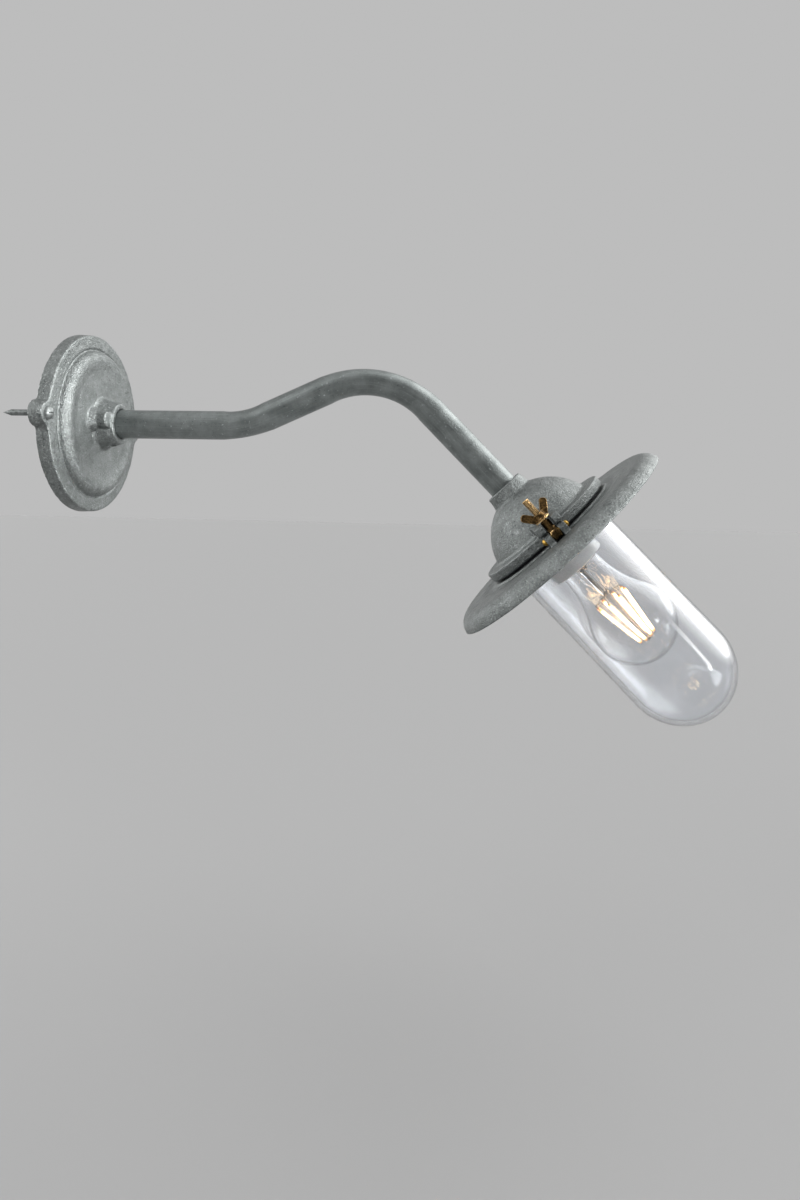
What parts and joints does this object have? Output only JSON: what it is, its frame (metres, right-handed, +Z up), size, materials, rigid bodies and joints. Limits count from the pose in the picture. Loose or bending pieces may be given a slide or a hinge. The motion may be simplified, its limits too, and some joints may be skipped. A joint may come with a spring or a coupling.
{
  "type": "wall light",
  "caption": "Swan-neck outdoor wall light: round cast plate, bent tube arm, cast dome and brim clamped by swing bolts with wing nuts, clear well glass and a screw-in filament lamp",
  "frame": {"origin": "centre of the wall plate on the wall plane, midway between the two wall screws", "axes": "+Z up, -Y out from the wall along the arm, +X to the right of someone who faces the wall"},
  "size_m": [0.182, 0.4976, 0.271],
  "materials": {
    "casting": "matt galvanised sand casting",
    "tube": "galvanised drawn tube",
    "plated_steel": "zinc plated",
    "brass": "plain brass",
    "bronze": "toned bronze",
    "clear_glass": "thick pressed glass",
    "lamp_glass": "thin blown glass",
    "black_glass": "black vitreous insulator",
    "porcelain": "glazed porcelain",
    "white_plastic": "natural polyamide",
    "rubber": "moulded silicone rubber",
    "brown_wire": "wire insulation",
    "blue_wire": "wire insulation",
    "earth_wire": "green and yellow wire insulation",
    "filament": "lit filament"
  },
  "bodies": {
    "fixture": {"wall_plate": "casting", "wall_gasket": "rubber", "wall_screws": "plated_steel", "hub_grub_screw": "plated_steel", "arm_tube": "tube", "terminal_block": "white_plastic", "terminal_sleeves": "brass", "terminal_screws": "plated_steel", "block_screw": "plated_steel", "earth_screws": "plated_steel", "earth_rings": "plated_steel", "live_wire": "brown_wire", "neutral_wire": "blue_wire", "earth_wire": "earth_wire", "dome": "casting", "collar_grub_screw": "plated_steel", "brim_ring": "casting", "upper_seal": "rubber", "lower_seal": "rubber", "well_glass": "clear_glass", "holder_strap": "plated_steel", "strap_screws": "plated_steel", "holder_screws": "plated_steel", "lampholder": "porcelain", "screw_shell": "brass", "centre_contact": "brass", "holder_terminals": "brass", "holder_terminal_screws": "plated_steel", "hinge_pin_near": "brass", "hinge_pin_far": "brass"},
    "swing_bolt_near": {"swing_bolt_near": "bronze"},
    "washer_near": {"washer_near": "bronze"},
    "wing_nut_near": {"wing_nut_near": "bronze"},
    "swing_bolt_far": {"swing_bolt_far": "bronze"},
    "washer_far": {"washer_far": "bronze"},
    "wing_nut_far": {"wing_nut_far": "bronze"},
    "lamp_slide": {"lamp_contact": "plated_steel"},
    "lamp": {"lamp_bulb": "lamp_glass", "lamp_cap": "brass", "lamp_insulator": "black_glass", "lamp_stem": "lamp_glass", "filament_frame": "plated_steel", "filaments": "filament"}
  },
  "joints": [
    {"name": "swing_near", "type": "hinge", "parent": "fixture", "child": "swing_bolt_near", "pos_m": [-0.057, -0.34508, -0.07242], "axis": [0, -0.7133, 0.7009], "range_deg": [0, 65]},
    {"name": "nut_travel_near", "type": "slide", "parent": "swing_bolt_near", "child": "washer_near", "axis": [0, 0.7009, 0.7133], "range_m": [0, 0.012]},
    {"name": "nut_spin_near", "type": "hinge", "parent": "washer_near", "child": "wing_nut_near", "pos_m": [-0.057, -0.33597, -0.06315], "axis": [0, 0.7009, 0.7133], "range_deg": [0, 5400.1]},
    {"name": "swing_far", "type": "hinge", "parent": "fixture", "child": "swing_bolt_far", "pos_m": [0.057, -0.34508, -0.07242], "axis": [0, 0.7133, -0.7009], "range_deg": [0, 65]},
    {"name": "nut_travel_far", "type": "slide", "parent": "swing_bolt_far", "child": "washer_far", "axis": [0, 0.7009, 0.7133], "range_m": [0, 0.012]},
    {"name": "nut_spin_far", "type": "hinge", "parent": "washer_far", "child": "wing_nut_far", "pos_m": [0.057, -0.33597, -0.06315], "axis": [0, 0.7009, 0.7133], "range_deg": [0, 5400.1]},
    {"name": "lamp_travel", "type": "slide", "parent": "fixture", "child": "lamp_slide", "axis": [0, -0.7009, -0.7133], "range_m": [0, 0.0254]},
    {"name": "lamp_spin", "type": "hinge", "parent": "lamp_slide", "child": "lamp", "pos_m": [0, -0.357, -0.08455], "axis": [0, -0.7009, -0.7133], "range_deg": [0, 2520.2]}
  ],
  "couplings": [
    {"joint": "nut_spin_near", "follows": "nut_travel_near", "rad_per_m": 7854},
    {"joint": "nut_spin_far", "follows": "nut_travel_far", "rad_per_m": 7854},
    {"joint": "lamp_spin", "follows": "lamp_travel", "rad_per_m": 1731.4}
  ]
}
